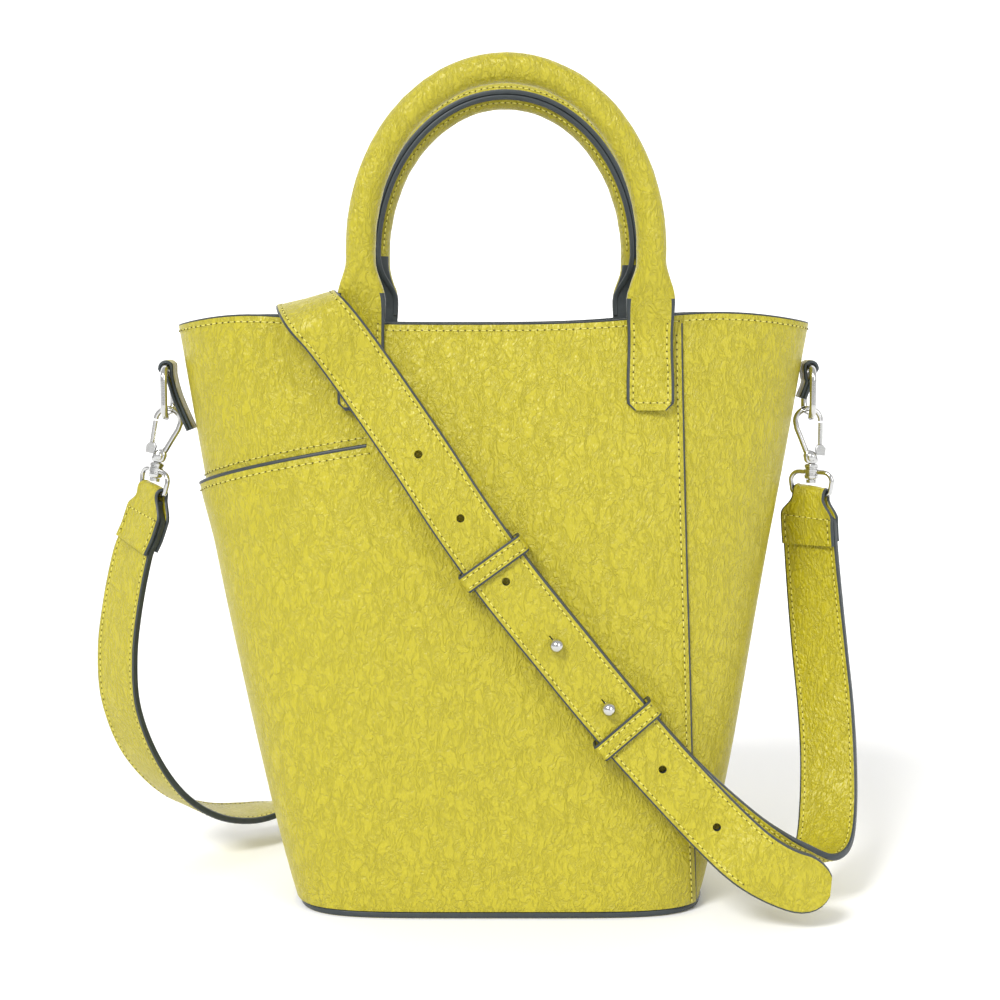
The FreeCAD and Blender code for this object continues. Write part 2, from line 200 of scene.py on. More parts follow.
class Graph:
    """One material's node tree."""

    def __init__(self, name):
        self.material = bpy.data.materials.new(name)
        self.material.use_nodes = True
        self.tree = self.material.node_tree
        self.shader = self.tree.nodes["Principled BSDF"]
        self.place = self.node("ShaderNodeTexCoord", output="Object")

    def node(self, kind, settings=None, sockets=None, output=0):
        made = self.tree.nodes.new(kind)
        for key, value in (settings or {}).items():
            setattr(made, key, value)
        for key, value in (sockets or {}).items():
            self.feed(made.inputs[key], value)
        return Val(self, made.outputs[output])

    def feed(self, socket, value):
        if isinstance(value, Val):
            self.tree.links.new(value.socket, socket)
        else:
            socket.default_value = value

    def noise(self, scale, detail=3.0, rough=0.55, distort=0.0, vector=None):
        return self.node("ShaderNodeTexNoise", None,
                         {"Vector": vector or self.place, "Scale": scale, "Detail": detail,
                          "Roughness": rough, "Distortion": distort})

    def stretch(self, scale, turn=(0, 0, 0), vector=None):
        return self.node("ShaderNodeMapping", None,
                         {"Vector": vector or self.place, "Scale": scale, "Rotation": turn})

    def mix(self, factor, a, b):
        """Blends two colours; 0, 6, 7 and output 2 are the mix node's colour sockets."""
        return self.node("ShaderNodeMix", {"data_type": "RGBA"}, {0: factor, 6: a, 7: b}, 2)

    def finish(self, bump=None, depth=0.0003, strength=0.5, **sockets):
        for key, value in sockets.items():
            self.feed(self.shader.inputs[key.replace("_", " ")], value)
        if bump is not None:
            normal = self.node("ShaderNodeBump", None,
                               {"Height": bump, "Distance": depth, "Strength": strength})
            self.feed(self.shader.inputs["Normal"], normal)
        return self.material


def rgba(colour, gain=1.0):
    return tuple(min(c * gain, 1.0) for c in colour) + (1.0,)


def hide_material():
    """Pressed, semi-gloss hide: flowing pebbles, fine pores and a few longer creases, with painted shade that
    darkens the grain's valleys and creases.
    """
    g = Graph("lime_hide")
    colour = leather_set().colour
    drift = g.node("ShaderNodeTexNoise", None, {"Vector": g.place, "Scale": 60.0, "Detail": 3.0}, 1)
    drift = g.node("ShaderNodeVectorMath", {"operation": "SCALE"}, {0: drift, "Scale": 0.007})
    warped = g.node("ShaderNodeVectorMath", {"operation": "ADD"}, {0: g.place, 1: drift})
    flow = g.stretch((1.0, 1.0, 0.5), (0, 0.6, 0), warped)
    cells = g.node("ShaderNodeTexVoronoi", {"feature": "SMOOTH_F1"},
                   {"Vector": flow, "Scale": 780.0, "Randomness": 1.0, "Smoothness": 0.2})
    pebbles = 1.0 - cells.span(0.1, 0.75)
    fine = g.noise(1500, 3, 0.6, 0.3, flow)
    creases = (g.noise(260, 4, 0.6, 0.9, flow) - 0.5).math("ABSOLUTE").span(0.0, 0.08)
    region = g.noise(26, 2, 0.5)
    height = pebbles * (0.45 + 0.35 * region) + fine * 0.45 + creases * 0.55
    patches = g.noise(9, 2, 0.5)
    # painted shade: the colour is darker where the grain's height is low (valleys and creases) and lighter on
    # the pebble tops
    low = g.mix(patches, rgba(colour, 0.88), rgba(colour, 0.93))
    high = g.mix(patches, rgba(colour, 1.02), rgba(colour, 1.08))
    tone = g.mix(height.span(0.3, 1.15), low, high)
    g.material.diffuse_color = rgba(colour)
    return g.finish(height, leather_set().grain, 0.85, Base_Color=tone,
                    Roughness=0.27 + 0.12 * patches + 0.08 * fine, Specular_IOR_Level=0.55)


def edge_material():
    """Thick sealed edge paint with a faint brushed ripple."""
    g = Graph("edge_paint")
    colour = leather_set().edge_colour
    ripple = g.noise(260, 3, 0.6)
    tone = g.mix(ripple, rgba(colour, 0.75), rgba(colour, 1.45))
    return g.finish(ripple, 0.0002, 0.4, Base_Color=tone, Roughness=0.34 + 0.2 * ripple)


def lining_material():
    """Fine twill."""
    g = Graph("lining_twill")
    colour = leather_set().lining_colour
    wave = {"wave_type": "BANDS", "bands_direction": "DIAGONAL"}
    twill = g.node("ShaderNodeTexWave", wave, {"Vector": g.place, "Scale": 420.0, "Distortion": 0.4}, 1)
    fuzz = g.noise(600, 3)
    tone = g.mix(twill * 0.6 + fuzz * 0.4, rgba(colour, 0.65), rgba(colour, 1.2))
    return g.finish(twill, 0.00015, 0.5, Base_Color=tone, Roughness=0.8 + 0.15 * fuzz)


def thread_material():
    """Twisted waxed thread."""
    g = Graph("waxed_thread")
    colour = stitch_set().colour
    twist = g.noise(2600, 2)
    tone = g.mix(twist, rgba(colour, 0.7), rgba(colour, 1.2))
    return g.finish(twist, 0.0001, 0.4, Base_Color=tone, Roughness=0.5 + 0.15 * twist)


def nickel_material(name="polished_nickel", rough=0.10):
    """Bright plated metal with hairlines and soft tarnish."""
    g = Graph(name)
    hair = g.noise(240, 4, 0.7, 0, g.stretch((1, 1, 9)))
    cloud = g.noise(60, 2)
    tone = g.mix(cloud, (0.50, 0.50, 0.49, 1), (0.72, 0.72, 0.71, 1))
    return g.finish(hair, 0.00004, 0.25, Base_Color=tone, Metallic=1.0, Roughness=rough + 0.12 * hair)


def plain_material(name, low, high, scale, rough):
    """Grained stiffener or rope stock, also the dark painted shade of the needle holes."""
    g = Graph(name)
    grain = g.noise(scale, 4)
    return g.finish(grain, 0.0003, 0.5, Base_Color=g.mix(grain, low, high), Roughness=rough + 0.1 * grain)


MATS = {}


def make_materials():
    MATS["hide"] = hide_material()
    MATS["edge"] = edge_material()
    MATS["lining"] = lining_material()
    MATS["thread"] = thread_material()
    # painted shade: this dark colour stands for the shadow inside each needle hole
    MATS["hole_shade"] = plain_material("needle_hole_shade", (0.05, 0.045, 0.01, 1), (0.14, 0.12, 0.02, 1), 900, 0.7)
    MATS["nickel"] = nickel_material()
    MATS["steel"] = nickel_material("gate_steel", 0.2)
    MATS["board"] = plain_material("board_fibre", (0.16, 0.13, 0.09, 1), (0.27, 0.22, 0.15, 1), 300, 0.8)
    MATS["rope"] = plain_material("rope_cotton", (0.5, 0.46, 0.36, 1), (0.76, 0.72, 0.6, 1), 700, 0.85)


# ---------------------------------------------------------------- mesh helpers

def put_in_scene(name, data):
    made = bpy.data.objects.new(name, data)
    bpy.context.scene.collection.objects.link(made)
    return made


def bulge(value, power):
    """A sine or cosine raised to a power, sign kept, for squared-off ovals."""
    return math.copysign(abs(value) ** power, value)


class Sheet:
    """Collects vertices in millimetres and faces with a material number."""

    def __init__(self):
        self.verts = []
        self.faces = []
        self.slots = []

    def add(self, point):
        self.verts.append(Vector(point) * MM)
        return len(self.verts) - 1

    def face(self, corners, slot=0):
        self.faces.append(corners)
        self.slots.append(slot)

    def tilt(self, side):
        """Carries everything collected so far with a hanging hook."""
        self.verts = [hung(v / MM, side) * MM for v in self.verts]

    def rings(self, rows, slot_of=None, closed=False, cap_slot=0):
        """Skins a list of point loops, capped at both ends unless it closes on itself."""
        ids = [[self.add(p) for p in row] for row in rows]
        count = len(ids[0])
        last = len(ids) if closed else len(ids) - 1
        for i in range(last):
            a = ids[i]
            b = ids[(i + 1) % len(ids)]
            for k in range(count):
                m = (k + 1) % count
                self.face((a[k], a[m], b[m], b[k]), slot_of(i, k) if slot_of else 0)
        if not closed:
            self.face(tuple(reversed(ids[0])), cap_slot)
            self.face(tuple(ids[-1]), cap_slot)

    def make(self, name, mats, sharp=35, outward=True):
        mesh = bpy.data.meshes.new(name)
        mesh.from_pydata([tuple(v) for v in self.verts], [], self.faces)
        for key in mats:
            mesh.materials.append(MATS[key])
        mesh.polygons.foreach_set("material_index", self.slots)
        if outward:
            work = bmesh.new()
            work.from_mesh(mesh)
            bmesh.ops.recalc_face_normals(work, faces=work.faces)
            work.to_mesh(mesh)
            work.free()
        mesh.shade_smooth()
        mesh.set_sharp_from_angle(angle=math.radians(sharp))
        return put_in_scene(name, mesh)


def bake(piece, sharp=35):
    """Turns live modifiers into the piece's own mesh."""
    graph = bpy.context.evaluated_depsgraph_get()
    mesh = bpy.data.meshes.new_from_object(piece.evaluated_get(graph), depsgraph=graph)
    piece.modifiers.clear()
    piece.data = mesh
    mesh.shade_smooth()
    mesh.set_sharp_from_angle(angle=math.radians(sharp))
    return piece


def thicken(piece, thickness):
    """Gives a sheet its wall on the inner side, paints the cut edge and rounds it."""
    wall = piece.modifiers.new("wall", "SOLIDIFY")
    wall.thickness = thickness * MM
    wall.offset = -1.0
    wall.use_even_offset = True
    wall.material_offset_rim = 1
    edge = piece.modifiers.new("edge", "BEVEL")
    edge.width = 0.45 * MM
    edge.segments = 2
    edge.limit_method = "ANGLE"
    edge.angle_limit = math.radians(50)
    return bake(piece)


def smooth(points, steps):
    """Catmull-Rom points through a short list of vectors."""
    out = []
    last = len(points) - 1
    for i in range(last):
        a = points[max(i - 1, 0)]
        b = points[i]
        c = points[i + 1]
        d = points[min(i + 2, last)]
        for k in range(steps):
            t = k / steps
            out.append((b * 2 + (c - a) * t + (a * 2 - b * 5 + c * 4 - d) * t ** 2
                        + (b * 3 - a - c * 3 + d) * t ** 3) * 0.5)
    out.append(points[last])
    return out


def ease(low, high, value):
    t = min(max((value - low) / (high - low), 0.0), 1.0)
    return t * t * (3 - 2 * t)


def settle(piece, body, slot, *nodes):
    """Seats a finished piece in the frame."""
    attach(piece, body)
    if nodes:
        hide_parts(*nodes)
    return piece


# ---------------------------------------------------------------- body shape

def half_width(z):
    return BASE_HALF_WIDTH + MOUTH_GROWTH * (max(z, 0.0) / RIM_Z) ** FLARE_POWER


def half_depth(z):
    s = z / RIM_Z
    return BASE_HALF_DEPTH + BELLY * math.sin(math.pi * min(s, 1.0)) - MOUTH_PINCH * s ** 3


def squareness(z):
    return 2.3 + 2.9 * max(1 - z / RIM_Z, 0.0) ** 1.5


def lean(z):
    return LEAN * ease(0, LEAN_Z, z)


def skin_y(x, z):
    level = min(z, RIM_Z)
    u = min(abs((x - lean(level)) / half_width(level)), 1.0)
    n = squareness(level)
    return half_depth(level) * (1 - u ** n) ** (1 / n)


class Outline:
    """Points round the bag at one height by arc length: 0 left end, 0.25 front, 0.5 right end."""

    def __init__(self, z):
        n = squareness(z)
        self.points = []
        self.lengths = [0.0]
        for i in range(OUTLINE_STEPS + 1):
            angle = math.pi + 2 * math.pi * i / OUTLINE_STEPS
            x = lean(z) + bulge(math.cos(angle), 2 / n) * half_width(z)
            y = bulge(math.sin(angle), 2 / n) * half_depth(z)
            self.points.append((x, y))
            if i:
                px, py = self.points[i - 1]
                self.lengths.append(self.lengths[-1] + math.hypot(x - px, y - py))
        self.total = self.lengths[-1]

    def at(self, u):
        goal = (u % 1.0) * self.total
        low = 0
        high = OUTLINE_STEPS
        while high - low > 1:
            middle = (low + high) // 2
            if self.lengths[middle] <= goal:
                low = middle
            else:
                high = middle
        run = self.lengths[high] - self.lengths[low] or 1.0
        t = (goal - self.lengths[low]) / run
        x = self.points[low][0] * (1 - t) + self.points[high][0] * t
        y = self.points[low][1] * (1 - t) + self.points[high][1] * t
        return x, y

    def u_of_x(self, x, front=True):
        """Where the front or back of the outline passes x."""
        low, high = (0.0, 0.5) if front else (1.0, 0.5)
        for _ in range(30):
            middle = (low + high) / 2
            if self.at(middle)[0] < x:
                low = middle
            else:
                high = middle
        return (low + high) / 2


OUTLINES = {}


def outline(z):
    key = round(min(max(z, 0.0), RIM_Z), 1)
    if key not in OUTLINES:
        OUTLINES[key] = Outline(key)
    return OUTLINES[key]


def skin(u, z, offset=0.0):
    """A point on the leather, pushed out by offset, with the hide's own slack."""
    ring = outline(z)
    x, y = ring.at(u)
    ax, ay = ring.at(u - 0.004)
    bx, by = ring.at(u + 0.004)
    length = math.hypot(bx - ax, by - ay) or 1.0
    nx = (by - ay) / length
    ny = -(bx - ax) / length
    slack = leather_set().slack / MM
    fade = ease(0, 40, z)
    wander = noise.noise(Vector((x / 70, y / 70, z / 80))) * slack * fade
    push = offset + wander
    return Vector((x + nx * push, y + ny * push, z))


def rim_height(u):
    """The rim dips in the middle of the front and back."""
    x = outline(RIM_Z).at(u)[0]
    left = 4.3 * math.exp(-((x + 118) / 38) ** 2)
    right = 5.2 * math.exp(-((x - 102) / 48) ** 2)
    return 271.4 + left + right - 2.2 * (abs(x) / 150) ** 8


def seam_x(z):
    """The overlay's right edge drifts outward towards the base."""
    return 82.0 + 8.5 * max(1 - z / RIM_Z, 0.0) ** 1.5


def mouth_height(x):
    """Slanted pocket mouth."""
    t = min(max((x + 145) / 85, 0.0), 1.0)
    return 191 + 26 * t ** 0.55


def panel(name, left, right, top, offset, columns, rows, thickness, slots=("hide", "edge"), bottom=BASE_T):
    """A skin panel between two edges given as functions of height."""
    sheet = Sheet()
    grid = []
    for j in range(rows + 1):
        line = []
        for i in range(columns + 1):
            s = i / columns
            guess = bottom + (RIM_Z - bottom) * j / rows
            u = left(guess) * (1 - s) + right(guess) * s
            z = bottom + (top(u) - bottom) * j / rows
            u = left(z) * (1 - s) + right(z) * s
            line.append(sheet.add(skin(u, z, offset)))
        grid.append(line)
    for j in range(rows):
        for i in range(columns):
            sheet.face((grid[j][i], grid[j][i + 1], grid[j + 1][i + 1], grid[j + 1][i]))
    piece = sheet.make(name, slots, outward=False)
    return thicken(piece, thickness)


# ---------------------------------------------------------------- stitches

def stitch_tree():
    """Puts one thread bead at each step along every path, with a flattened dark disc at its end as painted
    shade for its needle hole.
    """
    tree = bpy.data.node_groups.new("Stitch run", "GeometryNodeTree")
    given_kinds = {"Geometry": "Geometry", "Pitch": "Float", "Length": "Float", "Thickness": "Float",
                   "Thread": "Material", "Hole shade": "Material"}
    for label, kind in given_kinds.items():
        tree.interface.new_socket(label, in_out="INPUT", socket_type="NodeSocket" + kind)
    tree.interface.new_socket("Geometry", in_out="OUTPUT", socket_type="NodeSocketGeometry")

    def put(kind, settings=None, sockets=None):
        made = tree.nodes.new(kind)
        for key, value in (settings or {}).items():
            setattr(made, key, value)
        for key, value in (sockets or {}).items():
            if isinstance(value, bpy.types.NodeSocket):
                tree.links.new(value, made.inputs[key])
            else:
                made.inputs[key].default_value = value
        return made

    given = put("NodeGroupInput").outputs
    steps = put("GeometryNodeCurveToPoints", {"mode": "LENGTH"},
                {"Curve": given["Geometry"], "Length": given["Pitch"]}).outputs
    bead = put("GeometryNodeMeshUVSphere", None, {"Segments": 6, "Rings": 5, "Radius": 0.5})
    # painted shade: a flattened sphere at the bead's end, given the dark hole material, stands for the shadow
    # in the needle hole
    hole_shade = put("GeometryNodeMeshUVSphere", None, {"Segments": 6, "Rings": 4, "Radius": 0.5})
    shift = put("GeometryNodeTransform", None,
                {"Translation": (0, 0, 0.66), "Scale": (1.35, 1.35, 0.34), "Geometry": hole_shade.outputs["Mesh"]})
    mark = put("GeometryNodeStoreNamedAttribute", {"data_type": "BOOLEAN", "domain": "FACE"},
               {"Name": "hole_shade", "Value": True, "Geometry": shift.outputs["Geometry"]})
    both = put("GeometryNodeJoinGeometry", None, {"Geometry": bead.outputs["Mesh"]})
    tree.links.new(mark.outputs["Geometry"], both.inputs["Geometry"])
    size = put("ShaderNodeCombineXYZ", None,
               {0: given["Thickness"], 1: given["Thickness"], 2: given["Length"]})
    place = put("GeometryNodeInstanceOnPoints", None,
                {"Points": steps["Points"], "Instance": both.outputs["Geometry"],
                 "Rotation": steps["Rotation"], "Scale": size.outputs[0]})
    tilt = put("FunctionNodeRandomValue", {"data_type": "FLOAT_VECTOR"},
               {"Min": (-0.09, -0.09, 0), "Max": (0.09, 0.09, 0), "Seed": 4})
    turn = put("GeometryNodeRotateInstances", None,
               {"Instances": place.outputs["Instances"], "Rotation": tilt.outputs["Value"]})
    real = put("GeometryNodeRealizeInstances", None, {"Geometry": turn.outputs["Instances"]})
    paint = put("GeometryNodeSetMaterial", None,
                {"Geometry": real.outputs["Geometry"], "Material": given["Thread"]})
    marked = put("GeometryNodeInputNamedAttribute", {"data_type": "BOOLEAN"}, {"Name": "hole_shade"})
    hole_shade_set = put("GeometryNodeSetMaterial", None,
               {"Geometry": paint.outputs["Geometry"], "Selection": marked.outputs["Attribute"],
                "Material": given["Hole shade"]})
    put("NodeGroupOutput", None, {"Geometry": hole_shade_set.outputs["Geometry"]})
    return tree


def stitches(name, paths, pitch):
    """Runs of thread along paths given in millimetres."""
    curve = bpy.data.curves.new(name, "CURVE")
    curve.dimensions = "3D"
    for path in paths:
        spline = curve.splines.new("POLY")
        spline.points.add(len(path) - 1)
        for point, place in zip(spline.points, path):
            point.co = (place[0] * MM, place[1] * MM, place[2] * MM, 1)
    source = put_in_scene(name + "_run", curve)
    tree = bpy.data.node_groups.get("Stitch run") or stitch_tree()
    run = source.modifiers.new("run", "NODES")
    run.node_group = tree
    keys = {item.name: item.identifier for item in tree.interface.items_tree if item.in_out == "INPUT"}
    run[keys["Pitch"]] = pitch
    run[keys["Length"]] = pitch * 0.72
    run[keys["Thickness"]] = stitch_set().thickness
    run[keys["Thread"]] = MATS["thread"]
    run[keys["Hole shade"]] = MATS["hole_shade"]
    graph = bpy.context.evaluated_depsgraph_get()
    mesh = bpy.data.meshes.new_from_object(source.evaluated_get(graph), depsgraph=graph)
    bpy.data.objects.remove(source)
    mesh.name = name
    mesh.shade_smooth()
    return put_in_scene(name, mesh)


# ---------------------------------------------------------------- bag pieces

WRAP_UNDER = 3.0
LEFT_WRAP_U = -0.035


def build_panels():
    def front_seam(z):
        return outline(z).u_of_x(seam_x(z) - WRAP_UNDER)

    def front_end(z):
        return outline(z).u_of_x(seam_x(z) - WRAP_UNDER - 0.5)

    def back_seam(z):
        return outline(z).u_of_x(seam_x(z), front=False)

    front = panel("front_under_panel", lambda z: 0.0, front_end, rim_height, 0, 56, 56, PANEL_T)
    settle(front, "bag", "lime_leather", "front_panel")
    wrap = panel("right_side_panel", front_seam, back_seam, rim_height, 0, 48, 56, PANEL_T)
    settle(wrap, "bag", "lime_leather", "right_wrap_panel")
    back = panel("back_body_panel", back_seam, lambda z: 1.0, rim_height, 0, 72, 56, PANEL_T)
    settle(back, "bag", "lime_leather", "back_panel")
    lining = panel("lining_wall", lambda z: 0.0, lambda z: 0.99999, lambda u: rim_height(u) - 1.2,
                   -PANEL_T - 0.15, 120, 40, 1.0, ("lining", "lining"), 5.4)
    settle(lining, "bag", "lining_fabric", "lining")


def overlay_offset(x, z):
    """The pocket mouth gapes a little towards the left."""
    gape = 1.7 * ease(-70, -125, x) * ease(0.0, 1.0, 1 - min(abs(mouth_height(x) - z) / 34, 1.0))
    return OVERLAY_T + OVERLAY_GAP + gape


def build_overlay():
    """One sheet: low pocket front wrapping the left side, full-height front beside it."""
    sheet = Sheet()
    low_cols = 46
    high_cols = 50
    rows = 56
    above = 18
    grid = {}

    def edge_u(z):
        return outline(z).u_of_x(POCKET_EDGE_X)

    for i in range(low_cols + high_cols + 1):
        pocket = i <= low_cols
        s = i / low_cols if pocket else (i - low_cols) / high_cols
        mouth_x = POCKET_EDGE_X
        if pocket:
            level_u = LEFT_WRAP_U * (1 - s) + edge_u(POCKET_LEVEL) * s
            mouth_x = outline(POCKET_LEVEL).at(max(level_u, 0.0))[0]
        mouth = mouth_height(mouth_x)
        for j in range(rows + 1 + (0 if i < low_cols else above)):
            if j <= rows:
                z = BASE_T + 0.2 + (mouth - BASE_T - 0.2) * j / rows
            else:
                z = mouth + (RIM_Z - 3 - mouth) * (j - rows) / above
            if pocket:
                u = LEFT_WRAP_U * (1 - s) + edge_u(z) * s
            else:
                u = edge_u(z) * (1 - s) + outline(z).u_of_x(seam_x(z)) * s
            if j > rows:
                z = mouth + (rim_height(u) - mouth) * (j - rows) / above
            x = outline(z).at(u)[0]
            offset = overlay_offset(x, z) if pocket else OVERLAY_T + OVERLAY_GAP
            grid[i, j] = sheet.add(skin(u, z, offset))
    for i in range(low_cols + high_cols):
        top = rows if i < low_cols else rows + above
        for j in range(top):
            sheet.face((grid[i, j], grid[i + 1, j], grid[i + 1, j + 1], grid[i, j + 1]))
    piece = thicken(sheet.make("front_overlay", ("hide", "edge"), outward=False), OVERLAY_T)
    settle(piece, "bag", "lime_leather", "front_overlay_panel")


def build_base():
    """Leather base with its painted edge, and the lined floor inside."""
    sheet = Sheet()
    steps = 160
    rows = []
    for z, out in ((0.0, -1.2), (0.0, 0.2), (0.6, 0.8), (2.6, 0.8), (3.0, 0.3)):
        rows.append([skin(i / steps, z, out) for i in range(steps)])
    for row, z in zip(rows, (0.0, 0.0, 0.6, 2.6, 3.0)):
        for point in row:
            point.z = z
    sheet.rings(rows, lambda i, k: 1 if i in (1, 2, 3) else 0)
    settle(sheet.make("base_leather", ("hide", "edge"), 60), "bag", "lime_leather", "base_panel")
    floor = Sheet()
    rows = []
    for shrink, z in ((0.02, 5.5), (0.5, 5.5), (0.9, 5.5), (1.0, 5.7), (1.0, 5.15), (0.02, 5.15)):
        ring = [skin(i / steps, 5, -PANEL_T - 1.4) for i in range(steps)]
        rows.append([Vector((p.x * shrink, p.y * shrink, z)) for p in ring])
    floor.rings(rows)
    settle(floor.make("lining_floor", ("lining",)), "bag", "lining_fabric")


def build_edge_beads():
    """Painted edges that show from outside: rim, pocket mouth and the overlay's seam. The pocket mouth's bead
    is real edge paint made thick enough to stand also for the painted shadow of the mouth's gap.
    """
    sheet = Sheet()
    rim = []
    for i in range(180):
        u = i / 180
        point = skin(u, rim_height(u), -1.0)
        point.z += 0.1
        rim.append(point)
    tube(sheet, rim, lambda s: (1.1, 0.6), Vector((0, 0, 1)), closed=True, steps=8)
    # partly painted shadow: the mouth's bead is edge paint, thickened to also carry the dark of the gap's
    # shade
    mouth = []
    edge = outline(POCKET_LEVEL).u_of_x(POCKET_EDGE_X)
    for i in range(61):
        u = LEFT_WRAP_U + (edge - LEFT_WRAP_U) * i / 60
        x = outline(POCKET_LEVEL).at(max(u, 0.0))[0]
        z = mouth_height(x)
        u_here = LEFT_WRAP_U * (1 - i / 60) + outline(z).u_of_x(POCKET_EDGE_X) * i / 60
        mouth.append(skin(u_here, z + 0.1, overlay_offset(x, z) - 0.55))
    tube(sheet, mouth, lambda s: (0.95, 0.95), Vector((0, 0, 1)), steps=8)
    seam = [skin(outline(z).u_of_x(seam_x(z)), z, OVERLAY_T * 0.55) for z in (4 + 4 * i for i in range(68))]
    tube(sheet, seam, lambda s: (0.75, 0.9), Vector((0, 1, 0)), steps=8)
    settle(sheet.make("edge_beads", ("edge",), 60), "bag", "lime_leather")


def build_panel_stitches():
    paths = []
    drop = 2.7
    seam_u = outline(RIM_Z).u_of_x(seam_x(RIM_Z))
    edge_u = outline(RIM_Z).u_of_x(POCKET_EDGE_X)
    rim_runs = ((0.0, edge_u - 0.004, 0), (edge_u + 0.006, seam_u - 0.004, OVERLAY_T + OVERLAY_GAP),
                (seam_u + 0.004, 0.999, 0))
    for start, end, offset in rim_runs:
        count = int(abs(end - start) * 220)
        us = [start + (end - start) * i / count for i in range(count + 1)]
        paths.append([skin(u, rim_height(u) - drop, offset + 0.12) for u in us])
    levels = [5 + 4 * i for i in range(66)]
    paths.append([skin(outline(z).u_of_x(seam_x(z) - 2.4), z, OVERLAY_T + 0.27) for z in levels])
    paths.append([skin(outline(z).u_of_x(seam_x(z) + 3.2, front=False), z, 0.12) for z in levels])
    lower = []
    upper = []
    for i in range(49):
        s = i / 48
        u = 0.004 + (outline(POCKET_LEVEL).u_of_x(POCKET_EDGE_X) - 0.004) * s
        x = outline(POCKET_LEVEL).at(u)[0]
        z = mouth_height(x)
        lower.append(skin(u, z - 3.4, overlay_offset(x, z - 3.4) + 0.12))
        upper.append(skin(u, z + 3.9, 0.12))
    paths += [lower, upper]
    settle(stitches("panel_stitches", paths, stitch_set().pitch), "bag", "lime_leather")


# ---------------------------------------------------------------- handles

def arch_points():
    """Middle line of a handle above its folds, left foot to right foot, as (x, z)."""
    points = []
    for i in range(61):
        angle = math.pi * (1 - i / 60)
        points.append((LEG_HALF * math.cos(angle), SHOULDER_Z + (APEX_Z - SHOULDER_Z) * math.sin(angle)))
    return points


def leg_profile(z):
    """Half width, half thickness and squareness of the leather at a height on a leg."""
    width = TAB_HALF_W - 0.5 * ease(245, 262, z) + 0.7 * ease(266, 282, z)
    width += (HANDLE_R - width) * ease(282, 300, z)
    depth = 1.25 + 1.6 * ease(262, 284, z)
    depth += (HANDLE_R - depth) * ease(280, 302, z)
    square = 7.0 - 4.6 * ease(266, 301, z) - 0.4 * ease(295, 310, z)
    corner = 1 - 0.32 * (1 - ease(TAB_BOTTOM, TAB_BOTTOM + 4.5, z)) ** 2
    return width * corner, depth, square


def leg_depth(x, z):
    """How far forward the leg's middle stands."""
    level = min(z, 271.0)
    inner = skin_y(x, level) + OVERLAY_T + 0.45 + leg_profile(z)[1]
    return inner + (HANDLE_Y - inner) * ease(271, 297, z)


def handle_frames(side):
    """Centre, across direction, half width, half thickness, squareness along a whole handle."""
    frames = []
    legs = [TAB_BOTTOM + 1.5 * i for i in range(4)]
    legs += [TAB_BOTTOM + 7.5 + 2.5 * i for i in range(25)]
    for way in (-1, 1):
        run = []
        for z in legs:
            x = HANDLE_X + way * LEG_HALF
            run.append((Vector((x, side * leg_depth(x, z), z)), Vector((1, 0, 0)), leg_profile(z)))
        if way == -1:
            frames += run
            points = arch_points()
            for i, (x, z) in enumerate(points):
                ax, az = points[max(i - 1, 0)]
                bx, bz = points[min(i + 1, len(points) - 1)]
                along = Vector((bx - ax, 0, bz - az)).normalized()
                across = Vector((along.z, 0, -along.x))
                centre = Vector((HANDLE_X + x, side * HANDLE_Y, z))
                frames.append((centre, across, (HANDLE_R, HANDLE_R, 2.0)))
        else:
            frames += [(c, Vector((-1, 0, 0)), p) for c, _, p in reversed(run)]
    return frames


def build_handle(name, side):
    body = "handle_" + name
    frames = handle_frames(side)
    sheet = Sheet()
    count = 28
    rows = []
    for centre, across, (width, depth, square) in frames:
        ring = []
        for k in range(count):
            angle = 2 * math.pi * k / count
            a = bulge(math.cos(angle), 2 / square) * width
            d = bulge(math.sin(angle), 2 / square) * depth
            crumple = 0.22 * noise.noise((centre + across * a) / 6.0) if depth > 4 else 0.0
            ring.append(centre + across * (a * (1 + crumple / 6)) + Vector((0, d * (1 + crumple / 6), 0)))
        rows.append(ring)

    inward = 21 if side > 0 else 7

    def paint(i, k):
        z = frames[i][0].z
        border = min(k, count - 1 - k) <= 3 or abs(k - 13.5) <= 3.6
        backing = 268 < z < 303 and abs(k - inward) <= 4
        return 1 if (z < 284 and border) or backing or z < TAB_BOTTOM + 1.4 else 0

    sheet.rings(rows, paint, cap_slot=1)
    piece = sheet.make("handle_leather_" + name, ("hide", "edge"), 50)
    nodes = [body + "_cover", "handle_tab_" + name + "_left", "handle_tab_" + name + "_right"]
    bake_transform(piece)
    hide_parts(*nodes)
    build_handle_edge(name, side, frames, body)


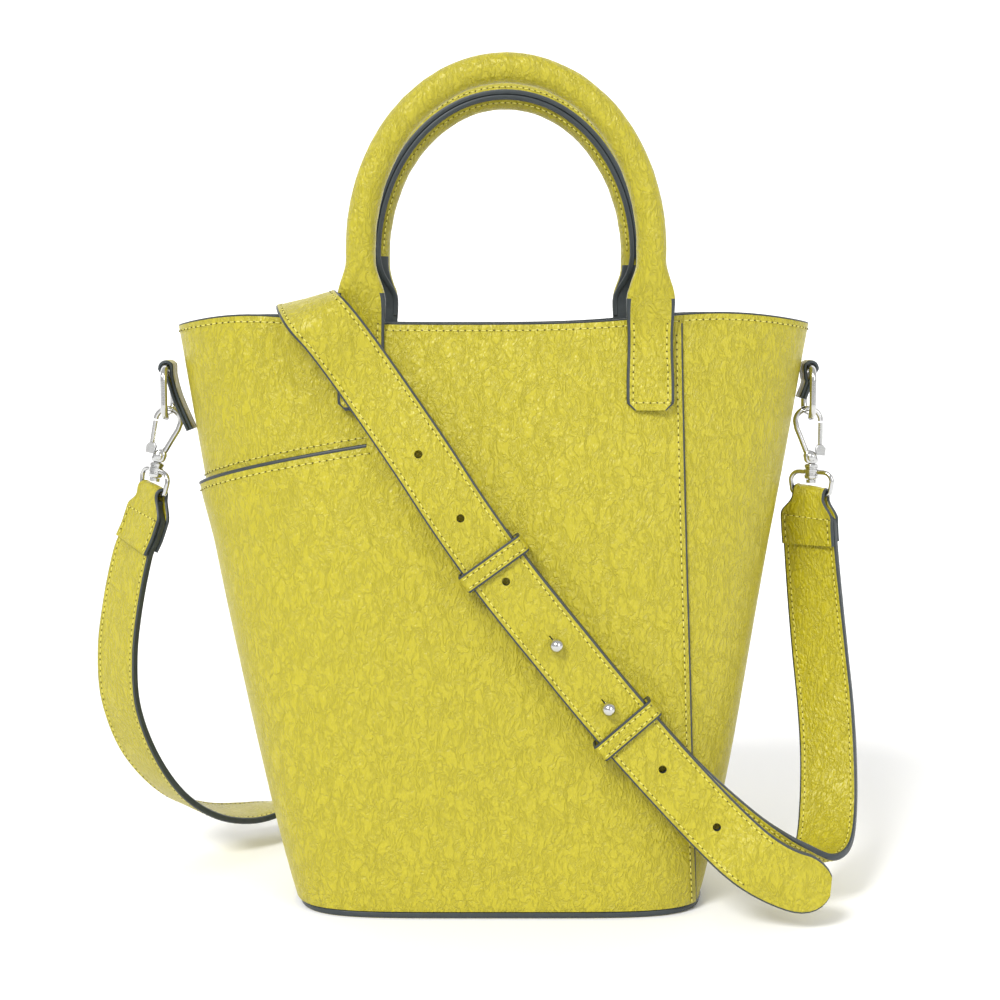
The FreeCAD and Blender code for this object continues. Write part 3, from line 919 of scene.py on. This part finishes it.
def build_handle_edge(name, side, frames, body):
    """Twin painted edges where the rolled leather closes, parting towards the folds, with stitches."""
    sheet = Sheet()
    seam = [[], []]
    for n, way in enumerate((-1, 1)):
        path = []
        for centre, across, (width, depth, _) in frames:
            if centre.z < 274:
                continue
            spread = 1 - ease(284, 306, centre.z)
            aside = 1.25 + spread * (width - 2.4)
            lift = depth + 0.35 - 0.5 * spread
            path.append(centre + across * (way * aside) + Vector((0, -side * lift, 0)))
            if centre.z > 306:
                seam[n].append(centre + across * (way * 3.9) + Vector((0, -side * 5.65, 0)))
        tube(sheet, path, lambda s: (1.3, 1.05), Vector((0, 1, 0)), steps=8)
    piece = sheet.make("handle_edge_" + name, ("edge",), 40)
    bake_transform(piece)
    settle(stitches("handle_stitches_" + name, seam, stitch_set().strap_pitch), body, "lime_leather")
    sewn = []
    levels = [TAB_BOTTOM + 3.4 + 1.7 * i for i in range(21)]
    for way in (-1, 1):
        x = HANDLE_X + way * LEG_HALF
        for edge_way in (-1, 1):
            sewn.append([Vector((x + edge_way * (leg_profile(z)[0] - 2.9),
                                 side * (leg_depth(x, z) + leg_profile(z)[1] + 0.08), z)) for z in levels])
        sewn.append([sewn[-2][0], sewn[-1][0]])
    settle(stitches("tab_stitches_" + name, sewn, stitch_set().strap_pitch), "bag", "lime_leather")


# ---------------------------------------------------------------- strap

def hung(point, side):
    """Where the tilt of a hanging hook carries a point."""
    x, way, _, tilt = HOOKS[side]
    pivot = Vector((x + way * BOW_OFFSET, 0, RING_BOTTOM_Z))
    turn = Matrix.Rotation(math.radians(tilt), 3, "Y")
    return turn @ (Vector(point) - pivot) + pivot


def diagonal_y(x, z, layer):
    first = skin_y(min(x, PEEL_X), z) + OVERLAY_T + KEEPER_T + 2 * GAP + STRAP_T / 2 + 1.5
    peel = PEEL * max(x - PEEL_X, 0)
    return -(first + layer * (STRAP_T + GAP + peel))


def long_route():
    down_right = (0.76, 0, 0.65)
    fall = [((-167.6, 0, 188.0), (0.72, -0.69, 0)), ((-169.8, 0, 181.0), (0.72, -0.69, 0)),
            ((-173.0, 0, 171.5), (0.73, -0.68, 0)),
            ((-177.8, 0, 160.0), (0.74, -0.67, 0)), ((-183.5, 2, 135.3), (0.75, -0.66, 0)),
            ((-187.1, 5, 110.1), (0.76, -0.65, 0.1)), ((-186.5, 9, 84.4), (0.74, -0.66, 0.1)),
            ((-178.5, 16, 57.6), (0.68, -0.70, 0.15)), ((-163.9, 27, 34.7), (0.45, -0.86, 0.2)),
            ((-146.0, 42, 21.6), (0.15, -0.98, 0.1)), ((-126.0, 62, 17.0), (-0.2, -0.97, 0))]
    climb = [((-106.0, 80, 21.0), (-0.3, -0.95, 0)), ((-90.0, 89, 38.0), (0, -1, 0)),
             ((-86.0, 88, 70.0), (0.25, -0.97, 0)), ((-88.0, 82, 120.0), (0.6, -0.8, 0)),
             ((-91.0, 74, 170.0), (0.85, -0.53, 0)), ((-92.0, 64, 220.0), (0.98, -0.2, 0)),
             ((-91.0, 57, 258.0), (1, 0, 0)), ((-90.5, 51, 274.0), (1, 0, 0)),
             ((-90.0, 42, 279.5), (1, 0, 0))]
    cross = [((-89.0, 20, 278.5), (1, 0, 0)), ((-88.5, -20, 279.0), (1, 0, 0)),
             ((-87.7, -46, 281.5), (0.96, 0, 0.27)), ((-82.5, -62.6, 276.5), (0.9, 0, 0.43)),
             ((-74.8, -65.6, 268.5), (0.83, 0, 0.56))]
    down = [((x, diagonal_y(x, z, 1), z), down_right) for x, z in [(-60.0, 248.2)] + list(HOLES)]
    tip = [((114.0, -83, 33.0), (0.70, 0, 0.71)), ((132.0, -82, 23.5), (0.50, 0, 0.87)),
           ((148.0, -82, 21.5), (0.2, 0, 0.98))]
    return fall + climb + cross + down + tip


def stud_route():
    down_right = (0.76, 0, 0.65)
    under = [(-8.0, 172.9)] + list(HOLES[2:6]) + [(91.0, 55.0)]
    rise = [((x, diagonal_y(x, z, 0), z), down_right) for x, z in under]
    curl = [((114.0, -68, 35.5), (0.76, 0, 0.64)), ((131.0, -60, 26.5), (0.78, -0.3, 0.55)),
            ((144.0, -50, 23.0), (0.82, -0.45, 0.35)), ((152.5, -37, 28.0), (0.87, -0.48, 0.15)),
            ((156.6, -24, 42.3), (0.87, -0.49, 0)), ((158.4, -12, 64.3), (0.86, -0.51, 0)),
            ((157.8, -5, 87.3), (0.88, -0.47, 0)), ((155.7, -0.5, 111.0), (0.88, -0.47, 0)),
            ((153.4, 2.0, 135.2), (0.86, -0.51, 0)), ((151.1, 2.5, 159.5), (0.82, -0.57, 0)),
            ((149.4, 0.5, 178.0), (0.81, -0.59, 0)), ((149.9, 0, 186.0), (0.81, -0.59, 0))]
    return rise + curl


def ribbon_frames(route, steps=7):
    centres = smooth([Vector(p) for p, w in route], steps)
    widths = smooth([Vector(w).normalized() for p, w in route], steps)
    frames = []
    for i, centre in enumerate(centres):
        along = (centres[min(i + 1, len(centres) - 1)] - centres[max(i - 1, 0)]).normalized()
        across = (widths[i] - along * widths[i].dot(along)).normalized()
        frames.append((centre, along, across, along.cross(across)))
    return frames


def strap_section(width, thickness):
    """Loop of (across, out) points: padded faces, sewn grooves, rounded edges."""
    half = width / 2
    t = thickness / 2
    face = ((-half + 0.95, 0.0), (-half + 1.6, 0.05), (-half + 2.6, -0.24), (-half + 4.4, 0.02), (0, 0.08),
            (half - 4.4, 0.02), (half - 2.6, -0.24), (half - 1.6, 0.05), (half - 0.95, 0.0))
    top = [(a, t + lift) for a, lift in face]
    side = [(half - 0.15, t - 0.45), (half, 0), (half - 0.15, -t + 0.45)]
    bottom = [(a, -t - lift) for a, lift in reversed(face)]
    other = [(-a, d) for a, d in reversed(side)]
    return top + side + bottom + other


def run_length(frames):
    return sum((b[0] - a[0]).length for a, b in zip(frames, frames[1:]))


def strap_piece(name, frames, width_of, thickness=STRAP_T):
    """Sweeps the strap section; width_of takes the frame's number and the run so far."""
    sheet = Sheet()
    rows = []
    run = 0.0
    for i, (centre, _, across, normal) in enumerate(frames):
        if i:
            run += (centre - frames[i - 1][0]).length
        section = strap_section(width_of(i, run), thickness)
        rows.append([centre + across * a + normal * d for a, d in section])
    count = len(rows[0])
    edge = set(range(8, 12)) | set(range(20, count))
    sheet.rings(rows, lambda i, k: 1 if k in edge else 0, cap_slot=1)
    return sheet.make(name, ("hide", "edge"), 45)


def strap_lines(frames, first, last):
    """Stitch lines in the grooves along both edges of both faces."""
    aside = STRAP_W / 2 - STITCH_INSET
    lift = STRAP_T / 2 - 0.26
    lines = []
    for face in (-1, 1):
        for edge in (-1, 1):
            lines.append([centre + across * (edge * aside) + normal * (face * lift)
                          for centre, _, across, normal in frames[first:last]])
    return lines


def cut_out(piece, cutter):
    """Takes a cutter's volume out of a piece for good."""
    tool = cutter.make("strap_punch", ("edge",))
    cut = piece.modifiers.new("holes", "BOOLEAN")
    cut.object = tool
    cut.operation = "DIFFERENCE"
    cut.solver = "MANIFOLD"
    bake(piece, 45)
    bpy.data.objects.remove(tool)


def punch(piece):
    """Cuts the round strap holes, and a short slit above each studded one."""
    holes = Sheet()
    slits = Sheet()
    for x, z in HOLES:
        y = diagonal_y(x, z, 1)
        loop = []
        for k in range(20):
            angle = 2 * math.pi * k / 20
            loop.append((x + HOLE_R * math.cos(angle), z + HOLE_R * math.sin(angle)))
        holes.rings([[Vector((a, y + d, b)) for a, b in loop] for d in (-PUNCH_REACH, PUNCH_REACH)])
        if (x, z) in STUDDED:
            along = Vector((-0.62, 0, 0.78))
            side = Vector((0.78, 0, 0.62))
            base = Vector((x, y, z))
            slit = ((0.6, -0.35), (0.6, 0.35), (5.0, 0.3), (5.0, -0.3))
            slits.rings([[base + along * s + side * t + Vector((0, d, 0)) for s, t in slit]
                         for d in (-PUNCH_REACH, PUNCH_REACH)])
    cut_out(piece, holes)
    cut_out(piece, slits)


def build_straps():
    frames = ribbon_frames(long_route())
    total = run_length(frames)

    def long_width(i, run):
        neck = 15 + 13 * ease(1.0, 9.0, run)
        left = max(total - run, 0.0)
        tip = STRAP_W * math.sqrt(max(1 - ((14 - left) / 15) ** 2, 0.1)) if left < 14 else STRAP_W
        return min(neck, tip)

    long_piece = strap_piece("strap_holed", frames, long_width)
    punch(long_piece)
    settle(long_piece, "bag", "lime_leather", "strap_long")
    lines = strap_lines(frames, 14, -14)
    settle(stitches("strap_holed_stitches", lines, stitch_set().strap_pitch), "bag", "lime_leather")

    frames = ribbon_frames(stud_route())
    total = run_length(frames)

    def stud_width(i, run):
        return 15 + 13 * ease(1.0, 9.0, total - run)

    settle(strap_piece("strap_studded", frames, stud_width), "bag", "lime_leather", "strap_stud")
    lines = strap_lines(frames, 2, -10)
    settle(stitches("strap_studded_stitches", lines, stitch_set().strap_pitch), "bag", "lime_leather")


def build_strap_tail(name, route, reach):
    """The strap's end, folded round the swivel and sewn down on both faces."""
    frames = ribbon_frames(route)
    if name == "right":
        frames.reverse()
    runs = [0.0]
    for a, b in zip(frames, frames[1:]):
        runs.append(runs[-1] + (b[0] - a[0]).length)

    def at(run):
        n = max(i for i, value in enumerate(runs) if value <= run)
        t = (run - runs[n]) / (runs[n + 1] - runs[n])
        return frames[n][0].lerp(frames[n + 1][0], t)

    across = frames[4][2]
    up = (frames[0][0] - at(8)).normalized()
    out = across.cross(up).normalized()
    bar = hung(Vector((HOOKS[name][0], 0, D_BOTTOM_Z)), name)
    off = out * (STRAP_T / 2 + 1.05)
    path = [at(reach) + off, at(reach * 0.7) + off, at(reach * 0.4) + off, at(3) + off, bar + out * 2.9,
            bar + out * 2.1 + up * 2.1, bar + up * 2.9, bar - out * 2.1 + up * 2.1, bar - out * 2.9,
            at(3) - off, at(reach * 0.4) - off, at(reach * 0.7) - off, at(reach * 0.9) - off]
    tail = ribbon_frames([(p, across) for p in path], 5)

    def width(i, run):
        drop = (tail[i][0] - bar).dot(up)
        return 17.0 + 11.0 * ease(-1.5, -11.0, drop) if drop < 0 else 17.0

    settle(strap_piece("strap_tail_" + name, tail, width, 1.9), "bag", "lime_leather", "strap_fold_" + name)
    lines = []
    for start, stop in ((2, 11), (52, 59)):
        for edge in (-1, 1):
            for face in (1, -1):
                lines.append([c + a * (edge * TAIL_STITCH_X) + n * (face * 0.98)
                              for c, _, a, n in tail[start:stop]])
    for n in (11, 51):
        c, _, a, w = tail[n]
        lines += [[c + a * k + w * face for k in range(-11, 12)] for face in (-1, 1)]
    settle(stitches("strap_tail_stitches_" + name, lines, stitch_set().strap_pitch), "bag", "lime_leather")


def build_keeper(name, x, z, slope, body, node):
    """Stitched leather band round both strap layers."""
    mid_y = (diagonal_y(x, z, 0) + diagonal_y(x, z, 1)) / 2
    high = STRAP_T + GAP / 2 + KEEPER_ROOM
    wide = STRAP_W / 2 + KEEPER_ROOM
    angle = math.radians(slope)
    across = Vector((math.cos(angle), 0, math.sin(angle)))
    along = Vector((-math.sin(angle), 0, math.cos(angle)))
    centre = Vector((x, mid_y, z))
    corner = 0.8
    path = []
    for cx, cy, start in ((wide - corner, high - corner, 0), (-wide + corner, high - corner, 90),
                          (-wide + corner, -high + corner, 180), (wide - corner, -high + corner, 270)):
        for k in range(5):
            t = math.radians(start + 90 * k / 4)
            path.append((cx, cy, math.cos(t), math.sin(t)))
    sheet = Sheet()
    rows = []
    half = KEEPER_W / 2
    face = ((-half, 0.3), (-half, KEEPER_T - 0.3), (-half + 0.9, KEEPER_T), (-half + 2.0, KEEPER_T - 0.12),
            (0, KEEPER_T + 0.1), (half - 2.0, KEEPER_T - 0.12), (half - 0.9, KEEPER_T),
            (half, KEEPER_T - 0.3), (half, 0.3), (half - 0.4, 0), (-half + 0.4, 0))
    for cx, cy, c, s in path:
        thin = 1 - 0.35 * max(0.0, s)
        rows.append([centre + across * (cx + c * (corner + d)) + Vector((0, cy + s * (corner + d * thin), 0))
                     + along * a for a, d in face])
    edge = {0, 1, 6, 7, 8, 10}
    sheet.rings(rows, lambda i, k: 1 if k in edge else 0, closed=True)
    settle(sheet.make(name + "_band", ("hide", "edge"), 45), body, "lime_leather", node)
    lines = []
    for a in (-half + 2.0, half - 2.0):
        lines.append([centre + across * (s * (wide - 1)) + Vector((0, -high - KEEPER_T + 0.05, 0)) + along * a
                      for s in (-1, -0.5, 0, 0.5, 1)])
    settle(stitches(name + "_stitches", lines, stitch_set().strap_pitch), body, "lime_leather")


def lathe(sheet, base, axis, profile, steps=28):
    """Turns (height, radius) pairs about an axis."""
    axis = Vector(axis).normalized()
    side = axis.orthogonal().normalized()
    other = axis.cross(side)
    rows = []
    for height, radius in profile:
        rows.append([Vector(base) + axis * height + (side * math.cos(2 * math.pi * k / steps)
                     + other * math.sin(2 * math.pi * k / steps)) * radius for k in range(steps)])
    sheet.rings(rows)


def build_studs():
    sheet = Sheet()
    for x, z in STUDDED:
        face = diagonal_y(x, z, 1) - STRAP_T / 2
        foot = diagonal_y(x, z, 0) - STRAP_T / 2
        profile = [(0, 0.05), (0, STUD_FOOT_R), (0.3, STUD_FOOT_R), (0.3, STUD_POST_R),
                   (foot - face - 0.2, STUD_POST_R)]
        for k in range(1, 12):
            t = math.pi * (0.16 + 0.84 * k / 11)
            height = foot - face + BALL_R - BALL_R * math.cos(t) - 0.1
            profile.append((height, max(BALL_R * math.sin(t), 0.05)))
        lathe(sheet, (x, foot, z), (0, -1, 0), profile)
    settle(sheet.make("ball_stud_pair", ("nickel",), 40), "bag", "plated_metal", "ball_studs")


# ---------------------------------------------------------------- hardware

def tube(sheet, centres, radii, normal, closed=False, steps=14):
    """Round or oval bar along a flat path. radii are (in plane, across plane)."""
    rows = []
    count = len(centres)
    for i, centre in enumerate(centres):
        a = centres[(i - 1) % count] if closed else centres[max(i - 1, 0)]
        b = centres[(i + 1) % count] if closed else centres[min(i + 1, count - 1)]
        along = (b - a).normalized()
        side = along.cross(normal).normalized()
        r, q = radii(i / max(count - 1, 1))
        rows.append([centre + side * (r * math.cos(2 * math.pi * k / steps))
                     + normal * (q * math.sin(2 * math.pi * k / steps)) for k in range(steps)])
    sheet.rings(rows, closed=closed)


def build_hook(name, x, way):
    """Trigger hook: tapered bow and arm, domed plate, rivet head."""
    sheet = Sheet()
    bow_x = x + way * BOW_OFFSET
    path = [Vector((x + way * 1.2, 0, 206.5)), Vector((x + way * 3.0, 0, 211)),
            Vector((x + way * 5.4, 0, 217)), Vector((x + way * 7.3, 0, 221.5))]
    for k in range(13):
        t = math.pi * k / 12
        path.append(Vector((bow_x + way * 6.0 * math.cos(t), 0, 225 + 6.0 * math.sin(t))))
    tube(sheet, path, lambda s: (1.45 - 0.1 * s, 1.9 - 0.5 * s), Vector((0, 1, 0)))
    rows = []
    plate = ((204.6, 1.6, 1.6), (204.9, 2.9, 2.2), (206.0, 3.5, 2.5), (208.4, 3.4, 2.5),
             (210.2, 2.4, 2.2), (211.0, 1.2, 1.4))
    for z, w, d in plate:
        centre = Vector((x + way * (z - 204.6) * 0.22, 0, z))
        rows.append([centre + Vector((w * bulge(math.cos(t), 0.6), d * bulge(math.sin(t), 0.6), 0))
                     for t in (2 * math.pi * k / 24 for k in range(24))])
    sheet.rings(rows)
    for face in (-1, 1):
        pivot = x - way * 4.0
        cheek = [(-1.9, 208.6), (1.9, 208.4), (2.3, 211.8), (1.2, 213.5), (-1.2, 213.5), (-2.1, 211.8)]
        sheet.rings([[Vector((pivot + a, face * y, z)) for a, z in cheek] for y in (1.75, 2.15, 2.8)])
    sheet.tilt(name)
    settle(sheet.make("hook_shell_" + name, ("nickel",), 40), "hook_" + name, "plated_metal",
           "hook_" + name + "_body")
    rivet = Sheet()
    dome = [(0, 2.0), (0.5, 1.95), (0.9, 1.5), (1.1, 0.8), (1.15, 0.05)]
    lathe(rivet, (x + way * 0.5, -2.35, 207.6), (0, -1, 0), [(-0.6, 0.05), (-0.6, 2.0)] + dome)
    rivet.tilt(name)
    settle(rivet.make("rivet_head_" + name, ("steel",), 40), "hook_" + name, "plated_metal",
           "plate_rivet_" + name)


def build_swivel(name, x, spin):
    """Ringed barrel over an oval wire loop."""
    sheet = Sheet()
    barrel = [(0, 1.9), (0, 3.1), (0.5, 3.5), (1.6, 3.5), (1.9, 3.15), (2.3, 3.15), (2.6, 3.5), (4.6, 3.5),
              (4.9, 3.15), (5.3, 3.15), (5.6, 3.5), (6.7, 3.5), (7.2, 3.0), (7.2, 1.9)]
    lathe(sheet, (x, 0, 197.2), (0, 0, 1), barrel + [(0, 1.9)])
    turn = math.radians(spin)
    across = Vector((math.cos(turn), math.sin(turn), 0))
    normal = Vector((-math.sin(turn), math.cos(turn), 0))
    loop = []
    for cx, cz, start in ((6.4, 196.0, 0), (-6.4, 196.0, 90), (-7.6, 192.3, 180), (7.6, 192.3, 270)):
        r = 4.4 if cz > 195 else 2.6
        for k in range(7):
            t = math.radians(start + 90 * k / 6)
            loop.append(Vector((x, 0, cz + r * math.sin(t))) + across * (cx + r * math.cos(t)))
    tube(sheet, loop, lambda s: (1.2, 1.25), normal, closed=True)
    sheet.tilt(name)
    settle(sheet.make("swivel_loop_" + name, ("nickel",), 40), "bag", "plated_metal", "swivel_d_" + name)


def build_chape(name, x, way):
    """Leather strip folded over the ring and reaching down to the side, with painted edges."""
    z0 = CHAPE_BOTTOM[name]
    foot = Vector((lean(z0) - way * (half_width(z0) + OVERLAY_T + 2.2), 0, z0))
    top = Vector((x, 0, RING_TOP_Z))
    down = (foot - top).normalized()
    side = Vector((-way * down.z, 0, way * down.x))
    bow = Vector((way * -0.8, 0, 0))
    path = [foot + side * 0.9, (foot + top) / 2 + side * 0.95 + bow, top + down * 5 + side * 1.2]
    for k in range(9):
        t = math.pi * k / 8
        path.append(top + side * (2.85 * math.cos(t)) - down * (2.85 * math.sin(t)))
    path += [top + down * 5 - side * 1.2, (foot + top) / 2 - side * 0.95 + bow, foot - side * 0.9]
    frames = ribbon_frames([(p, (0, 1, 0)) for p in path], 4)
    piece = strap_piece("chape_leather_" + name, frames, lambda i, run: 14.0, 1.75)
    settle(piece, "bag", "lime_leather", "chape_" + name)


def paint_frame_nodes():
    """Gives the frame's own visible nodes their finish."""
    finish = {"base_board": "board", "handle_front_core": "rope", "handle_back_core": "rope"}
    for side in HOOKS:
        finish["ring_" + side] = "nickel"
        finish["gate_" + side] = "steel"
        finish["gate_" + side + "_pin"] = "steel"
        finish["swivel_post_" + side] = "steel"
    for node, key in finish.items():
        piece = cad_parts[node]
        if piece.material_slots:
            for slot in piece.material_slots:
                slot.material = MATS[key]
        else:
            piece.data.materials.append(MATS[key])


# ---------------------------------------------------------------- stage

PAPER_HALF_W = 6000
PAPER_FRONT = -3000
SWEEP_Y = 1500
SWEEP_R = 1200
WALL_TOP = 5200


def build_stage():
    stage = bpy.context.scene.tote_stage
    scene = bpy.context.scene
    scene.view_settings.view_transform = "Standard"
    sheet = Sheet()
    profile = [(PAPER_FRONT, 0), (SWEEP_Y, 0)]
    for i in range(1, 19):
        angle = math.pi / 2 * i / 18
        profile.append((SWEEP_Y + SWEEP_R * math.sin(angle), SWEEP_R - SWEEP_R * math.cos(angle)))
    profile.append((SWEEP_Y + SWEEP_R, WALL_TOP))
    ids = [[sheet.add((x, y, z - 0.3)) for x in (-PAPER_HALF_W, PAPER_HALF_W)] for y, z in profile]
    for a, b in zip(ids, ids[1:]):
        sheet.face((a[0], a[1], b[1], b[0]))
    g = Graph("studio_paper")
    haze = g.noise(2, 2)
    MATS["paper"] = g.finish(None, Base_Color=g.mix(haze, (0.94, 0.94, 0.94, 1), (0.96, 0.96, 0.96, 1)),
                             Roughness=0.9)
    paper = sheet.make("studio_paper", ("paper",), 80, outward=False)
    world = bpy.data.worlds.new("studio")
    world.use_nodes = True
    world.node_tree.nodes["Background"].inputs["Color"].default_value = (1, 1, 1, 1)
    world.node_tree.nodes["Background"].inputs["Strength"].default_value = 0.62
    scene.world = world
    lamps = (("key", (-0.55, -1.0, 0.95), 2.6, 0.30), ("fill", (0.8, -1.0, 0.5), 0.7, 0.6))
    for name, way, power, angle in lamps:
        data = bpy.data.lights.new(name, "SUN")
        data.energy = power
        data.angle = angle
        lamp = put_in_scene(name, data)
        lamp.location = way
        lamp.rotation_euler = Vector(way).to_track_quat("Z", "Y").to_euler()
    data = bpy.data.cameras.new("camera")
    data.lens = stage.lens
    data.sensor_width = 36
    camera = put_in_scene("camera", data)
    camera.location = (0, -stage.distance, stage.height)
    camera.rotation_euler = (stage.tilt, 0, 0)
    scene.camera = camera


# ---------------------------------------------------------------- operators

class TOTE_OT_body(bpy.types.Operator):
    """Builds the leather panels, overlay, base and lining"""
    bl_idname = "tote.body"
    bl_label = "Bag body"

    def execute(self, context):
        build_panels()
        build_overlay()
        build_base()
        build_edge_beads()
        build_panel_stitches()
        return {"FINISHED"}


class TOTE_OT_handles(bpy.types.Operator):
    """Builds both rolled handles"""
    bl_idname = "tote.handles"
    bl_label = "Rolled handles"

    def execute(self, context):
        build_handle("front", -1)
        build_handle("back", 1)
        return {"FINISHED"}


class TOTE_OT_strap(bpy.types.Operator):
    """Builds the two strap pieces, their folded ends, keepers and studs"""
    bl_idname = "tote.strap"
    bl_label = "Shoulder strap"

    def execute(self, context):
        build_straps()
        build_strap_tail("left", long_route(), 25.0)
        build_strap_tail("right", stud_route(), 21.0)
        build_keeper("upper_keeper", -2.8, 166.0, 36.0, "bag", "keeper_upper")
        build_keeper("lower_keeper", 57.0, 91.0, 41.0, "sliding_keeper", "keeper_lower")
        build_studs()
        return {"FINISHED"}


class TOTE_OT_hardware(bpy.types.Operator):
    """Builds hooks, swivels and chapes, and finishes the frame's metal"""
    bl_idname = "tote.hardware"
    bl_label = "Snap hooks and rings"

    def execute(self, context):
        for name, (x, way, spin, _) in HOOKS.items():
            build_hook(name, x, way)
            build_swivel(name, x, spin)
            build_chape(name, x + way * BOW_OFFSET, way)
        paint_frame_nodes()
        return {"FINISHED"}


class TOTE_OT_stage(bpy.types.Operator):
    """Sets the paper floor, lights and camera"""
    bl_idname = "tote.stage"
    bl_label = "Studio stage"

    def execute(self, context):
        build_stage()
        return {"FINISHED"}


class TOTE_PT_panel(bpy.types.Panel):
    """Lists the tote's builders"""
    bl_label = "Tote"
    bl_idname = "TOTE_PT_panel"
    bl_space_type = "VIEW_3D"
    bl_region_type = "UI"
    bl_category = "Tote"

    def draw(self, context):
        for operator in OPERATORS:
            self.layout.operator(operator.bl_idname)


OPERATORS = (TOTE_OT_body, TOTE_OT_handles, TOTE_OT_strap, TOTE_OT_hardware, TOTE_OT_stage)
GROUPS = {"tote_leather": ToteLeather, "tote_stitch": ToteStitch, "tote_stage": ToteStage}


def register():
    for cls in tuple(GROUPS.values()) + OPERATORS + (TOTE_PT_panel,):
        bpy.utils.register_class(cls)
    for name, cls in GROUPS.items():
        setattr(bpy.types.Scene, name, bpy.props.PointerProperty(type=cls))


def unregister():
    for name in GROUPS:
        delattr(bpy.types.Scene, name)
    for cls in (TOTE_PT_panel,) + OPERATORS + tuple(GROUPS.values()):
        bpy.utils.unregister_class(cls)


def main():
    register()
    make_materials()
    bpy.ops.tote.body()
    bpy.ops.tote.handles()
    bpy.ops.tote.strap()
    bpy.ops.tote.hardware()
    bpy.ops.tote.stage()


if __name__ == "__main__":
    main()
